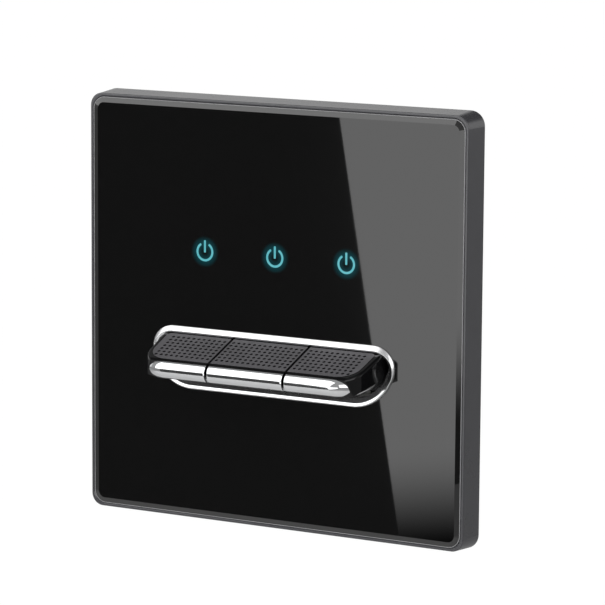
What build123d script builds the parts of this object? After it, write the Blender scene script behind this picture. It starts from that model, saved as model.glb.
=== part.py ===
from build123d import *
from math import atan, cos, degrees, radians, sin, tan
import os

# Three-gang glass light switch. Millimetres, X to the right, Y into the wall, Z up.
# The origin is the centre of the panel on the wall's surface, so the room is at negative Y.

# Face frame, the moulded tray that carries the glass
panel_side = 86.0
panel_depth = 6.3
side_draft = 0.5
panel_corner = 3.0
rim_wall = 0.7
rim_chamfer = 0.3
rim_round = 0.2
glass_proud = 0.25
tray_floor = 1.2
tray_wall = 1.8
clip_thickness = 1.7
clip_width = 6.0
clip_spread = 18.0
clip_fit = 0.05
clip_setback = 0.1
rib_thickness = 1.0
rib_spread = 30.0
rib_height = 1.4

# Glass sheet and the printed film behind it
glass_thickness = 2.5
glass_gap = 0.1
bevel_width = 1.0
bevel_depth = 0.3
film_thickness = 0.15
film_gap = 0.05
film_margin = 0.6

# Icons: a broken ring with a stem, one above each key
icon_pitch = 16.0
icon_height = 12.2
ring_radius = 1.95
stroke_width = 0.45
ring_break = 30.0
stem_low = -0.15
stem_high = 2.3

# Slot for the keys, and the widths of the bezel's rim round it
slot_side_room = 3.6
slot_lean = 27.0
slot_top = -4.75
slot_bottom = -15.1
slot_top_radius = 3.1
slot_bottom_radius = 8.1
rim_above = 1.55
rim_below = 0.9
rim_beside = 0.95
rim_top_radius = 4.6
rim_bottom_radius = 9.0
bezel_proud = 0.6
bezel_round = 0.3
bezel_overlap = 0.3
bezel_fit = 0.1
dish_proud = 0.2
dish_lip = 0.65
dish_rise = 1.25
dish_flat = 1.7
dish_depth = 2.7

# Keys: a row of three, each on the same rod
key_gap = 0.6
key_split = 8.7
key_half_width = 24.9
key_reach = 11.3
key_top_gap = 0.25
key_under = 7.25
key_under_rise = 0.4
key_cheek_gap = 0.8
grip_start = 0.5
grip_run = 9.3
grip_slope = 20.0
band_run = 0.6
band_drop = 0.4
nose_drop = 1.4
chin_run = 1.0
key_corner = 5.5
key_side_taper = 0.9
key_bottom_round = 3.0
key_edge_round = 0.6
key_wall = 1.3
grip_thickness = 0.8
grip_proud = 0.1
grip_side_margin = 1.3
grip_corner = 4.0
grip_back_corner = 1.0
dimple_pitch = 1.19
dimple_radius = 0.35
dimple_depth = 0.3
dimple_rows = 7
dimple_edge = 0.7
dimple_outer_margin = 3.1

# Rod that the keys turn on
rod_radius = 1.0
rod_depth = 1.5
rod_below_slot = 0.75
running_gap = 0.05
slip_gap = 0.02
sleeve_wall = 0.9
neck_height = 2.0
neck_lap = 0.2
rod_setback = 0.3

# Push rod that hangs from each key
arm_width = 7.0
arm_thickness = 3.0
arm_lead = 0.2
arm_toe = 0.1
push_drop = 8.5
push_length = 7.9
push_radius = 0.9
push_head_radius = 1.6
push_pin_radius = 0.7
push_head_width = 3.4
push_tip_round = 0.6
body_gap = 0.3
spring_radius = 2.9
spring_wire = 0.25
spring_turns = 4
spring_seat_gap = 0.05

# Steel yoke
yoke_width = 71.0
yoke_height = 62.0
yoke_thickness = 1.2
yoke_corner = 3.0
fixing_pitch = 60.3
fixing_radius = 2.25
fixing_head_radius = 4.8
yoke_side_fit = 0.3
yoke_shelf_fit = 0.2
yoke_board_room = 1.0

# Mechanism housing behind the wall's surface
housing_width = 52.4
housing_height = 50.0
housing_wall = 1.6
cradle_thickness = 3.0
cheek_front = 0.9
web_thickness = 1.4
housing_depth = 24.0
terminal_block = 5.6
housing_corner = 1.5
shelf_thickness = 1.4
shelf_fit = 0.2
opening_drop = 4.0
opening_rise = 0.6
cheek_drop = 0.8
spring_wall_depth = 7.2
spring_wall_thickness = 1.0
spring_wall_rise = 1.2
spring_hole_radius = 2.6
cell_gap = 0.4

# Toggle rocker and contacts
rocker_depth = 13.7
rocker_tilt = 10.0
rocker_half_height = 5.2
rocker_width = 7.0
rocker_front = 3.4
rocker_notch = 1.0
rocker_back = 1.3
rocker_pin_radius = 0.8
bearing_depth = 1.0
blade_thickness = 0.5
blade_width = 5.0
blade_margin = 0.2
contact_offset = 5.0
button_radius = 1.1
button_height = 0.4
contact_gap = 0.5
strip_thickness = 0.8
strip_width = 2.4
lane_margin = 1.0
lane_width = 2.2
fulcrum_half_width = 2.4
fulcrum_gap = 0.4
fulcrum_tip_half = 0.2
fulcrum_foot_half = 0.6

# Terminals: three rows of saddle clamps
tab_gap = 0.4
tab_margin = 1.6
tab_height = 7.0
tab_row_pitch = 8.4
well_width = 6.4
well_height = 5.6
clamp_gap = 1.5
clamp_thickness = 1.2
clamp_fit = 0.3
terminal_screw_radius = 1.5
terminal_head_radius = 2.5
terminal_head_height = 2.0
screw_slot = 0.7
screw_slot_depth = 0.8
screw_slot_reach = 1.75
screw_end = 1.4
wire_hole_radius = 1.7
wire_hole_offset = 4.7
wire_hole_floor = 0.8

# Indicator board
board_width = 46.0
board_low = -1.0
board_top_room = 5.0
board_thickness = 1.2
board_front = 0.4
board_fit = 0.2
guide_radius = 2.6
guide_flange = 0.9
guide_flange_thickness = 0.8
guide_fit = 0.1
led_width = 2.8
led_height = 3.5
led_thickness = 0.9
led_gap = 0.3
lens_radius = 1.2
lens_height = 0.3
board_pin_radius = 0.4
board_pin_offset = 2.6
board_pin_rise = 2.1
resistor_width = 2.0
resistor_height = 1.2
resistor_thickness = 0.5
resistor_drop = 6.0

# Screws that hold yoke, cradle and housing together
case_screw_inset_x = 3.8
case_screw_inset_z = 2.4
case_screw_radius = 1.0
case_screw_head = 2.0
case_screw_head_height = 0.8
case_screw_length = 13.0
case_screw_fit = 0.25
case_boss_wall = 1.0

# How far a cutting shape reaches past the piece it cuts
cut_past = 1.0

# Places that follow from the sizes above
front = -panel_depth
rim_front = front + glass_proud
glass_back = front + glass_thickness
film_front = glass_back + film_gap
film_back = film_front + film_thickness
floor_back = film_back + tray_floor
draft_angle = degrees(atan(side_draft / panel_depth))
slot_half_width = key_half_width + slot_side_room
glass_side = panel_side - 2 * (side_draft + rim_wall + glass_gap)
glass_corner = panel_corner - side_draft / 2 - rim_wall / 2
key_top = slot_top - key_top_gap
grip_drop = grip_run * tan(radians(grip_slope))
grip_length = grip_run / cos(radians(grip_slope))
rod_z = slot_top - rod_below_slot
sleeve_radius = rod_radius + sleeve_wall
push_z = rod_z - push_drop
block_bottom = housing_depth - terminal_block
web_half = web_thickness / 2
cell_side = housing_width / 2 - housing_wall
gang_pitch = (cell_side + key_split + web_half) / 2
gangs = [("1", -gang_pitch), ("2", 0.0), ("3", gang_pitch)]
key_spans = {
    "1": (-key_half_width, -key_split - key_gap / 2),
    "2": (-key_split + key_gap / 2, key_split - key_gap / 2),
    "3": (key_split + key_gap / 2, key_half_width),
}
cell_spans = {
    "1": (-cell_side, -key_split - web_half),
    "2": (-key_split + web_half, key_split - web_half),
    "3": (key_split + web_half, cell_side),
}
board_high = housing_height / 2 - board_top_room
lane_half = lane_width / 2
cell_half = min(cell_side - gang_pitch, key_split - web_half)
lane_offset = cell_half - lane_margin - lane_half
tab_half = lane_offset - lane_half - tab_gap
tab_row_high = housing_height / 2 - housing_wall - tab_margin - tab_height / 2
tab_rows = [tab_row_high - 2 * tab_row_pitch, tab_row_high - tab_row_pitch, tab_row_high]
case_screw_x = housing_width / 2 - case_screw_inset_x
case_screw_z = housing_height / 2 - case_screw_inset_z
case_screw_spots = [(x * case_screw_x, z * case_screw_z) for x in (-1, 1) for z in (-1, 1)]


def room_plane(depth):
    # A plane across the wall at this depth, looking into the room
    return Plane.XZ.offset(-depth)


def block(x, y, z, mode=Mode.ADD):
    # A box between the low and high values given for each direction
    with Locations(((x[0] + x[1]) / 2, (y[0] + y[1]) / 2, (z[0] + z[1]) / 2)):
        Box(x[1] - x[0], y[1] - y[0], z[1] - z[0], mode=mode)


def round_bar(radius, x, z, y, mode=Mode.ADD):
    # A round bar that runs into the wall, between two depths
    with Locations((x, (y[0] + y[1]) / 2, z)):
        Cylinder(radius, y[1] - y[0], rotation=(90, 0, 0), mode=mode)


def cross_bar(radius, x, y, z, mode=Mode.ADD):
    # A round bar that runs from left to right
    with Locations(((x[0] + x[1]) / 2, y, z)):
        Cylinder(radius, x[1] - x[0], rotation=(0, 90, 0), mode=mode)


def scoop_face(half_width, lean, top, bottom, top_radius, bottom_radius, grow=0.0):
    # A straight-topped outline that narrows downwards, with rounded corners
    foot = half_width - (top - bottom) * tan(radians(lean))
    with BuildSketch() as outline:
        with BuildLine():
            Polyline((-half_width, top), (half_width, top), (foot, bottom), (-foot, bottom), close=True)
        make_face()
        fillet(outline.vertices().group_by(Axis.Y)[-1], top_radius)
        fillet(outline.vertices().group_by(Axis.Y)[0], bottom_radius)
        if grow:
            offset(amount=grow)
    return outline.sketch


def bezel_face(grow=0.0):
    # The rim's outline, a set width outside the slot's
    half_width = slot_half_width + rim_above * tan(radians(slot_lean)) + rim_beside / cos(radians(slot_lean))
    top = slot_top + rim_above
    bottom = slot_bottom - rim_below
    return scoop_face(half_width, slot_lean, top, bottom, rim_top_radius, rim_bottom_radius, grow)


def icon_face():
    # The broken ring and its stem, about the ring's centre
    reach = 2 * ring_radius
    with BuildSketch() as icon:
        Circle(ring_radius)
        Circle(ring_radius - stroke_width, mode=Mode.SUBTRACT)
        with BuildLine():
            corner = reach * sin(radians(ring_break))
            Polyline((0, 0), (-corner, reach * cos(radians(ring_break))),
                     (corner, reach * cos(radians(ring_break))), close=True)
        make_face(mode=Mode.SUBTRACT)
        with Locations((0, (stem_low + stem_high) / 2)):
            Rectangle(stroke_width, stem_high - stem_low)
    return icon.sketch


bezel_outline = bezel_face()
bezel_body_outline = bezel_face(-bezel_overlap)
bezel_hole_outline = bezel_face(bezel_fit - bezel_overlap)
slot_outline = scoop_face(
    slot_half_width, slot_lean, slot_top, slot_bottom, slot_top_radius, slot_bottom_radius
)
icon_outline = icon_face()
os.makedirs("parts", exist_ok=True)


def keep(piece, name):
    # Label a finished piece and write it under its name
    piece.part.label = name
    export_step(piece.part, f"parts/{name}.step")


# Glass panel with a bevelled edge and the opening for the keys
with BuildPart() as glass_panel:
    with BuildSketch(room_plane(glass_back)):
        RectangleRounded(glass_side, glass_side, glass_corner)
    extrude(amount=glass_thickness - bevel_depth)
    with BuildSketch(room_plane(front + bevel_depth)):
        RectangleRounded(glass_side, glass_side, glass_corner)
    extrude(amount=bevel_depth, taper=degrees(atan(bevel_width / bevel_depth)))
    with BuildSketch(room_plane(glass_back)):
        add(bezel_hole_outline)
    extrude(amount=glass_thickness, mode=Mode.SUBTRACT)
keep(glass_panel, "glass_panel")

# Black film behind the glass, pierced by the icons
with BuildPart() as print_film:
    with BuildSketch(room_plane(film_back)):
        RectangleRounded(glass_side - film_margin, glass_side - film_margin, glass_corner)
        add(bezel_hole_outline, mode=Mode.SUBTRACT)
        with Locations(*[(i * icon_pitch, icon_height) for i in (-1, 0, 1)]):
            add(icon_outline, mode=Mode.SUBTRACT)
    extrude(amount=film_thickness)
keep(print_film, "print_film")

# Face frame: a tray with drafted sides, clips for the yoke and ribs on its back
with BuildPart() as face_frame:
    with BuildSketch(room_plane(0)):
        RectangleRounded(panel_side, panel_side, panel_corner)
    extrude(amount=-rim_front, taper=draft_angle)
    with BuildSketch(room_plane(film_back)):
        seat_side = glass_side + 2 * glass_gap
        RectangleRounded(seat_side, seat_side, glass_corner + glass_gap)
    extrude(amount=film_back - rim_front, mode=Mode.SUBTRACT)
    with BuildSketch(room_plane(0)):
        hollow_side = panel_side - 2 * tray_wall
        RectangleRounded(hollow_side, hollow_side, panel_corner / 2)
    extrude(amount=-floor_back, mode=Mode.SUBTRACT)
    rim_face = face_frame.faces().sort_by(Axis.Y)[0]
    chamfer(rim_face.inner_wires()[0].edges(), rim_chamfer)
    rim_face = face_frame.faces().sort_by(Axis.Y)[0]
    fillet(rim_face.outer_wire().edges(), rim_round)
    with BuildSketch(room_plane(floor_back)):
        add(bezel_hole_outline)
        with Locations((-fixing_pitch / 2, 0), (fixing_pitch / 2, 0)):
            Circle(fixing_head_radius)
        with Locations(*[(i * icon_pitch, icon_height) for i in (-1, 0, 1)]):
            Circle(guide_radius + guide_fit)
    extrude(amount=tray_floor, mode=Mode.SUBTRACT)
    clip_low = yoke_height / 2 + clip_fit
    for side in (-1, 1):
        for spot in (-clip_spread, clip_spread):
            z_ends = sorted((side * clip_low, side * (clip_low + clip_thickness)))
            block((spot - clip_width / 2, spot + clip_width / 2), (floor_back, -clip_setback), z_ends)
        for spot in (-rib_spread, 0, rib_spread):
            z_ends = sorted((side * (clip_low + clip_thickness), side * (panel_side / 2 - tray_wall)))
            rib_ends = (spot - rib_thickness / 2, spot + rib_thickness / 2)
            block(rib_ends, (floor_back, floor_back + rib_height), z_ends)
keep(face_frame, "face_frame")

# Chromed bezel: a rim on the glass, a wall through it and a sloping dish under the keys
bezel_back = floor_back
dish_front = front - dish_proud
dish_knee = dish_front + dish_flat
with BuildPart() as dish:
    with BuildSketch(room_plane(bezel_back)):
        add(slot_outline)
    extrude(amount=bezel_back - dish_front)
    with BuildSketch(Plane.YZ.offset(-slot_half_width)):
        with BuildLine():
            Polyline(
                (dish_front, slot_bottom),
                (dish_knee, slot_bottom + dish_lip),
                (dish_knee + dish_depth, slot_bottom + dish_lip + dish_rise),
                (dish_knee + dish_depth, slot_bottom - bezel_proud),
                (dish_front, slot_bottom - bezel_proud),
                close=True,
            )
        make_face()
    extrude(amount=2 * slot_half_width, mode=Mode.INTERSECT)
with BuildPart() as key_bezel:
    with BuildSketch(room_plane(front)):
        add(bezel_outline)
    extrude(amount=bezel_proud)
    rim_edges = key_bezel.faces().sort_by(Axis.Y)[0].edges()
    fillet(rim_edges, bezel_round)
    with BuildSketch(room_plane(bezel_back)):
        add(bezel_body_outline)
    extrude(amount=bezel_back - front)
    with BuildSketch(room_plane(bezel_back)):
        add(slot_outline)
    extrude(amount=bezel_back - front + bezel_proud, mode=Mode.SUBTRACT)
    slot_edges = key_bezel.faces().sort_by(Axis.Y)[0].inner_wires()[0].edges()
    fillet(slot_edges, bezel_round)
    add(dish.part)
keep(key_bezel, "key_bezel")

# Light guides between the indicator lamps and the icons
lamp_front = board_front - led_thickness
guide_back = lamp_front - led_gap
for number, spot in (("1", -icon_pitch), ("2", 0.0), ("3", icon_pitch)):
    with BuildPart() as light_guide:
        round_bar(guide_radius, spot, icon_height, (film_back, guide_back))
        flange = (floor_back, floor_back + guide_flange_thickness)
        round_bar(guide_radius + guide_flange, spot, icon_height, flange)
    keep(light_guide, f"light_guide_{number}")

    with BuildPart() as indicator_led:
        block(
            (spot - led_width / 2, spot + led_width / 2),
            (lamp_front + lens_height, board_front),
            (icon_height - led_height / 2, icon_height + led_height / 2),
        )
        round_bar(lens_radius, spot, icon_height, (lamp_front, board_front))
    keep(indicator_led, f"indicator_led_{number}")

# Indicator board with its pins and resistors
board_back = board_front + board_thickness
pin_spots = [(x + board_pin_offset, tab_rows[0] + board_pin_rise) for _, x in gangs]
pin_spots += [(x - board_pin_offset, tab_rows[2] - board_pin_rise) for _, x in gangs]
with BuildPart() as led_board:
    block((-board_width / 2, board_width / 2), (board_front, board_back), (board_low, board_high))
    for x, z in pin_spots:
        round_bar(board_pin_radius + slip_gap, x, z, (board_front, board_back), mode=Mode.SUBTRACT)
keep(led_board, "led_board")

resistor_z = icon_height - resistor_drop
with BuildPart() as board_resistors:
    for spot in (-icon_pitch, 0.0, icon_pitch):
        block(
            (spot - resistor_width / 2, spot + resistor_width / 2),
            (board_front - resistor_thickness, board_front),
            (resistor_z - resistor_height / 2, resistor_z + resistor_height / 2),
        )
keep(board_resistors, "board_resistors")

strip_front = block_bottom - strip_thickness
with BuildPart() as board_pins:
    for x, z in pin_spots:
        round_bar(board_pin_radius, x, z, (board_front - slip_gap, strip_front - slip_gap))
keep(board_pins, "board_pins")

# Steel yoke with its fixing holes
opening_low = push_z - opening_drop
opening_high = rod_z + sleeve_radius + opening_rise
shelf_low = opening_low - shelf_thickness
yoke_opening_half = housing_width / 2 + yoke_side_fit
yoke_opening_low = shelf_low - yoke_shelf_fit
yoke_opening_high = board_high + yoke_board_room
with BuildPart() as mounting_yoke:
    with BuildSketch(room_plane(0)):
        RectangleRounded(yoke_width, yoke_height, yoke_corner)
        with Locations((0, (yoke_opening_low + yoke_opening_high) / 2)):
            RectangleRounded(2 * yoke_opening_half, yoke_opening_high - yoke_opening_low,
                             housing_corner, mode=Mode.SUBTRACT)
        with Locations((-fixing_pitch / 2, 0), (fixing_pitch / 2, 0)):
            Circle(fixing_radius, mode=Mode.SUBTRACT)
        with Locations(*case_screw_spots):
            Circle(case_screw_radius + case_screw_fit, mode=Mode.SUBTRACT)
    extrude(amount=yoke_thickness)
keep(mounting_yoke, "mounting_yoke")

# Cradle: the front moulding that carries the rod, the board and the spring seats
cheek_low = rod_z - sleeve_radius - cheek_drop
spring_wall_back = spring_wall_depth + spring_wall_thickness
with BuildPart() as key_cradle:
    block(
        (-housing_width / 2, housing_width / 2),
        (0, cradle_thickness),
        (-housing_height / 2, housing_height / 2),
    )
    for low, high in cell_spans.values():
        block((low, high), (0, cradle_thickness), (opening_low, opening_high), mode=Mode.SUBTRACT)
    for low, high in (
        (-housing_width / 2, -cell_side),
        (-key_split - web_half, -key_split + web_half),
        (key_split - web_half, key_split + web_half),
        (cell_side, housing_width / 2),
    ):
        block((low, high), (-cheek_front, 0), (cheek_low, opening_high))
    shelf_half = cell_side - shelf_fit
    block((-shelf_half, shelf_half), (0, spring_wall_back), (shelf_low, opening_low))
    block(
        (-shelf_half, shelf_half),
        (spring_wall_depth, spring_wall_back),
        (opening_low, push_z + spring_radius + spring_wire + spring_wall_rise),
    )
    for _, x in gangs:
        round_bar(spring_hole_radius, x, push_z, (spring_wall_depth, spring_wall_back), mode=Mode.SUBTRACT)
    cross_bar(
        rod_radius + slip_gap, (-housing_width / 2, housing_width / 2), rod_depth, rod_z, mode=Mode.SUBTRACT
    )
    block(
        (-board_width / 2 - board_fit, board_width / 2 + board_fit),
        (0, board_back),
        (board_low - board_fit, board_high + board_fit),
        mode=Mode.SUBTRACT,
    )
    for x, z in pin_spots:
        round_bar(board_pin_radius + slip_gap, x, z, (0, cradle_thickness), mode=Mode.SUBTRACT)
    for x, z in case_screw_spots:
        round_bar(case_screw_radius + case_screw_fit, x, z, (0, cradle_thickness), mode=Mode.SUBTRACT)
keep(key_cradle, "key_cradle")

# Rod that all three keys turn on
rod_half = housing_width / 2 - rod_setback
with BuildPart() as pivot_rod:
    cross_bar(rod_radius, (-rod_half, rod_half), rod_depth, rod_z)
keep(pivot_rod, "pivot_rod")

# Rear housing with its partitions, bearings, screw bosses and terminal wells
bearing_radius = rocker_pin_radius + running_gap
boss_radius = case_screw_radius + case_boss_wall
screw_tip = case_screw_length - yoke_thickness
with BuildPart() as rear_housing:
    block(
        (-housing_width / 2, housing_width / 2),
        (cradle_thickness, housing_depth),
        (-housing_height / 2, housing_height / 2),
    )
    fillet(rear_housing.edges().filter_by(Axis.Y), housing_corner)
    fillet(rear_housing.faces().sort_by(Axis.Y)[-1].edges(), housing_corner / 2)
    block(
        (-cell_side, cell_side),
        (cradle_thickness, block_bottom),
        (-housing_height / 2 + housing_wall, housing_height / 2 - housing_wall),
        mode=Mode.SUBTRACT,
    )
    for side in (-1, 1):
        block(
            (side * key_split - web_half, side * key_split + web_half),
            (spring_wall_back + cell_gap, block_bottom),
            (-housing_height / 2 + housing_wall, housing_height / 2 - housing_wall),
        )
    for x, z in case_screw_spots:
        round_bar(boss_radius, x, z, (cradle_thickness, screw_tip + case_boss_wall))
    for x, z in case_screw_spots:
        screw_hole_ends = (cradle_thickness, screw_tip + slip_gap)
        round_bar(case_screw_radius + slip_gap, x, z, screw_hole_ends, mode=Mode.SUBTRACT)
    cross_bar(
        bearing_radius,
        (-cell_side - bearing_depth, cell_side + bearing_depth),
        rocker_depth,
        push_z,
        mode=Mode.SUBTRACT,
    )
    for _, x in gangs:
        for z in tab_rows:
            block(
                (x - well_width / 2, x + well_width / 2),
                (block_bottom, housing_depth),
                (z - well_height / 2, z + well_height / 2),
                mode=Mode.SUBTRACT,
            )
            round_bar(
                wire_hole_radius,
                x - wire_hole_offset,
                z,
                (block_bottom + wire_hole_floor, housing_depth),
                mode=Mode.SUBTRACT,
            )
keep(rear_housing, "rear_housing")

# Keys: one bar with the outline of all three, cut into its keys further down
key_back = cheek_front + key_cheek_gap
grip_plane = Plane(
    origin=(0, front - grip_start, key_top),
    x_dir=(1, 0, 0),
    z_dir=(0, -sin(radians(grip_slope)), cos(radians(grip_slope))),
)
edge_y = front - grip_start - grip_run
edge_z = key_top - grip_drop
band_point = (edge_y - band_run, edge_z - band_drop)
nose_point = (front - key_reach, band_point[1] - nose_drop)
chin_point = (front - key_reach + chin_run, key_top - key_under)
with BuildPart() as key_bar:
    with BuildSketch(Plane.YZ.offset(-key_half_width)):
        with BuildLine():
            Polyline(
                (edge_y, edge_z),
                (front - grip_start, key_top),
                (front + grip_start, key_top - key_top_gap),
                (-key_back, key_top - key_top_gap),
                (-key_back, key_top - key_under + key_under_rise),
                chin_point,
            )
            ThreePointArc(chin_point, nose_point, band_point)
            Line(band_point, (edge_y, edge_z))
        make_face()
    extrude(amount=2 * key_half_width)
    with BuildSketch(Plane.XY.offset(key_top - key_under - cut_past)) as plan:
        front_half = key_half_width - key_side_taper
        with BuildLine():
            Polyline(
                (-key_half_width, -key_back),
                (key_half_width, -key_back),
                (key_half_width, front),
                (front_half, front - key_reach),
                (-front_half, front - key_reach),
                (-key_half_width, front),
                close=True,
            )
        make_face()
        fillet(plan.vertices().group_by(Axis.Y)[0], key_corner)
    extrude(amount=key_under + 2 * cut_past, mode=Mode.INTERSECT)
    with BuildSketch(room_plane(-key_back)) as elevation:
        with Locations((0, key_top - key_under / 2)):
            Rectangle(2 * key_half_width, key_under)
        fillet(elevation.vertices().group_by(Axis.Y)[0], key_bottom_round)
    extrude(amount=key_reach - front, mode=Mode.INTERSECT)
    side_edges = key_bar.edges().filter_by(
        lambda e: min(abs((e @ 0).X), abs((e @ 1).X)) > front_half and min((e @ 0).Z, (e @ 1).Z) > edge_z
    )
    fillet(side_edges, key_edge_round)

nose_plane = Plane(
    origin=(0, *band_point), x_dir=(1, 0, 0), z_dir=(0, -cos(radians(grip_slope)), -sin(radians(grip_slope)))
)
arm_front = rod_depth - arm_thickness / 2 - arm_lead
arm_back = arm_front + arm_thickness
arm_low = push_z - push_head_radius - arm_toe
grip_half = key_half_width - grip_side_margin
key_solid = key_bar.part

for number, centre in gangs:
    low, high = key_spans[number]
    cell_low, cell_high = cell_spans[number]
    sleeve = (cell_low + cell_gap, cell_high - cell_gap)
    height = (key_top - key_under - cut_past, key_top + cut_past)
    length = (front - key_reach - cut_past, -key_back + cut_past)

    # Outline of the dimpled plate on the sloping top
    with BuildSketch(grip_plane) as plate_outline:
        with BuildLine():
            back_half = grip_half
            front_half = grip_half - key_side_taper / 2
            Polyline(
                (-back_half, 0),
                (back_half, 0),
                (front_half, -grip_length),
                (-front_half, -grip_length),
                close=True,
            )
        make_face()
        fillet(plate_outline.vertices().group_by(Axis.Y)[0], grip_corner)
        fillet(plate_outline.vertices().group_by(Axis.Y)[-1], grip_back_corner)
        with Locations(((low + high) / 2, -grip_length / 2)):
            Rectangle(high - low, 2 * grip_length, mode=Mode.INTERSECT)
    plate_face = plate_outline.sketch

    # Black body of the key, with its pocket, sleeve, arm and fork
    with BuildPart() as key_core:
        add(key_solid)
        block((low, high), length, height, mode=Mode.INTERSECT)
        with BuildSketch(nose_plane):
            Rectangle(4 * key_half_width, 4 * key_under)
        extrude(amount=key_reach, mode=Mode.SUBTRACT)
        extrude(plate_face, amount=-grip_thickness + grip_proud, mode=Mode.SUBTRACT)
        pocket_low = low + key_wall + (key_side_taper if number == "1" else 0)
        pocket_high = high - key_wall - (key_side_taper if number == "3" else 0)
        with BuildSketch(Plane.YZ.offset(pocket_low)):
            with BuildLine():
                slope = tan(radians(grip_slope))
                roof = key_top - key_top_gap - grip_thickness - key_wall
                floor = key_top - key_under + key_wall
                pocket_end = edge_y + 2 * key_wall
                Polyline(
                    (-key_back, roof),
                    (front, roof),
                    (pocket_end, roof + (pocket_end - front) * slope),
                    (pocket_end, floor),
                    (-key_back, floor + key_under_rise),
                    close=True,
                )
            make_face()
        extrude(amount=pocket_high - pocket_low, mode=Mode.SUBTRACT)
        neck_top = key_top - key_top_gap
        block(sleeve, (-key_back - neck_lap, rod_depth), (neck_top - neck_height, neck_top))
        cross_bar(sleeve_radius, sleeve, rod_depth, rod_z)
        arm = (centre - arm_width / 2, centre + arm_width / 2)
        block(arm, (arm_front, arm_back), (arm_low, rod_z))
        slot_half = push_head_width / 2 + body_gap
        slot_top_z = push_z + push_head_radius + body_gap
        slot = (centre - slot_half, centre + slot_half)
        block(slot, (arm_front, arm_back), (arm_low, slot_top_z), mode=Mode.SUBTRACT)
        cross_bar(push_pin_radius + running_gap, arm, rod_depth, push_z, mode=Mode.SUBTRACT)
        cross_bar(rod_radius + running_gap, sleeve, rod_depth, rod_z, mode=Mode.SUBTRACT)
    keep(key_core, f"key_core_{number}")

    # Chromed nose along the front of the key
    with BuildPart() as key_nose:
        add(key_solid)
        block((low, high), length, height, mode=Mode.INTERSECT)
        with BuildSketch(nose_plane):
            Rectangle(4 * key_half_width, 4 * key_under)
        extrude(amount=key_reach, mode=Mode.INTERSECT)
    keep(key_nose, f"key_nose_{number}")

    # Dimpled grip plate let into the sloping top
    first = low + dimple_outer_margin if number == "1" else low + dimple_edge
    last = high - dimple_outer_margin if number == "3" else high - dimple_edge
    columns = round((last - first) / dimple_pitch) + 1
    with BuildPart() as grip_plate:
        extrude(plate_face, amount=grip_proud)
        extrude(plate_face, amount=-grip_thickness + grip_proud)
        with BuildSketch(grip_plane.offset(grip_proud)):
            with Locations(((first + last) / 2, -grip_length / 2)):
                with GridLocations(dimple_pitch, dimple_pitch, columns, dimple_rows):
                    Circle(dimple_radius)
        extrude(amount=-dimple_depth, mode=Mode.SUBTRACT)
    keep(grip_plate, f"grip_plate_{number}")

    # Push rod on its cross pin, swinging in the key's fork
    push_tip = rod_depth + push_length
    with BuildPart() as push_rod:
        head_half = push_head_width / 2
        pin_half = arm_width / 2 - body_gap
        cross_bar(push_head_radius, (centre - head_half, centre + head_half), rod_depth, push_z)
        cross_bar(push_pin_radius, (centre - pin_half, centre + pin_half), rod_depth, push_z)
        round_bar(push_radius, centre, push_z, (rod_depth, push_tip))
        fillet(push_rod.faces().sort_by(Axis.Y)[-1].edges(), push_tip_round)
    keep(push_rod, f"push_rod_{number}")

    # Return spring between the key's fork and the spring wall
    spring_low = arm_back + spring_seat_gap + spring_wire
    spring_high = spring_wall_depth - spring_seat_gap - spring_wire
    with BuildPart() as return_spring:
        with BuildLine() as coil:
            Helix(
                pitch=(spring_high - spring_low) / spring_turns,
                height=spring_high - spring_low,
                radius=spring_radius,
                center=(centre, spring_low, push_z),
                direction=(0, 1, 0),
            )
        with BuildSketch(Plane(origin=coil.line @ 0, z_dir=coil.line % 0)):
            Circle(spring_wire)
        sweep()
    keep(return_spring, f"return_spring_{number}")

    # Toggle rocker, built upright about its axle and then tilted
    axle = Axis((centre, rocker_depth, push_z), (1, 0, 0))
    hub = (cell_low + cell_gap, cell_high - cell_gap)
    pin_low = cell_low - bearing_depth + body_gap if number == "1" else cell_low - web_half + body_gap / 2
    pin_high = cell_high + bearing_depth - body_gap if number == "3" else cell_high + web_half - body_gap / 2
    with BuildPart() as toggle_rocker:
        with BuildSketch(Plane.YZ.offset(centre - rocker_width / 2)):
            with BuildLine():
                Polyline(
                    (rocker_depth - rocker_front, push_z - rocker_half_height),
                    (rocker_depth - rocker_front + rocker_notch, push_z),
                    (rocker_depth - rocker_front, push_z + rocker_half_height),
                    (rocker_depth + rocker_back, push_z + rocker_half_height),
                    (rocker_depth + rocker_back, push_z - rocker_half_height),
                    close=True,
                )
            make_face()
        extrude(amount=rocker_width)
        cross_bar(rocker_back, hub, rocker_depth, push_z)
        cross_bar(rocker_pin_radius, (pin_low, pin_high), rocker_depth, push_z)
    toggle_rocker.part = toggle_rocker.part.rotate(axle, -rocker_tilt)
    keep(toggle_rocker, f"toggle_rocker_{number}")

    # Contact blade on the rocker's back, with a button at each end
    blade_front = rocker_depth + rocker_back
    blade_back = blade_front + blade_thickness
    blade_half_height = contact_offset + button_radius + blade_margin
    with BuildPart() as moving_contact:
        block(
            (centre - blade_width / 2, centre + blade_width / 2),
            (blade_front, blade_back),
            (push_z - blade_half_height, push_z + blade_half_height),
        )
        for side in (-1, 1):
            round_bar(
                button_radius, centre, push_z + side * contact_offset, (blade_back, blade_back + button_height),
            )
    moving_contact.part = moving_contact.part.rotate(axle, -rocker_tilt)
    keep(moving_contact, f"moving_contact_{number}")

    # Fixed contacts: strips on the terminal block, each led to its own row of terminals
    reach = rocker_back + blade_thickness + button_height
    closed = rocker_depth + reach * cos(radians(rocker_tilt)) + contact_offset * sin(radians(rocker_tilt))
    fixed_face = closed + contact_gap
    strip = (strip_front, block_bottom)
    half = strip_width / 2
    screw_hole = terminal_screw_radius + slip_gap

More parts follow.
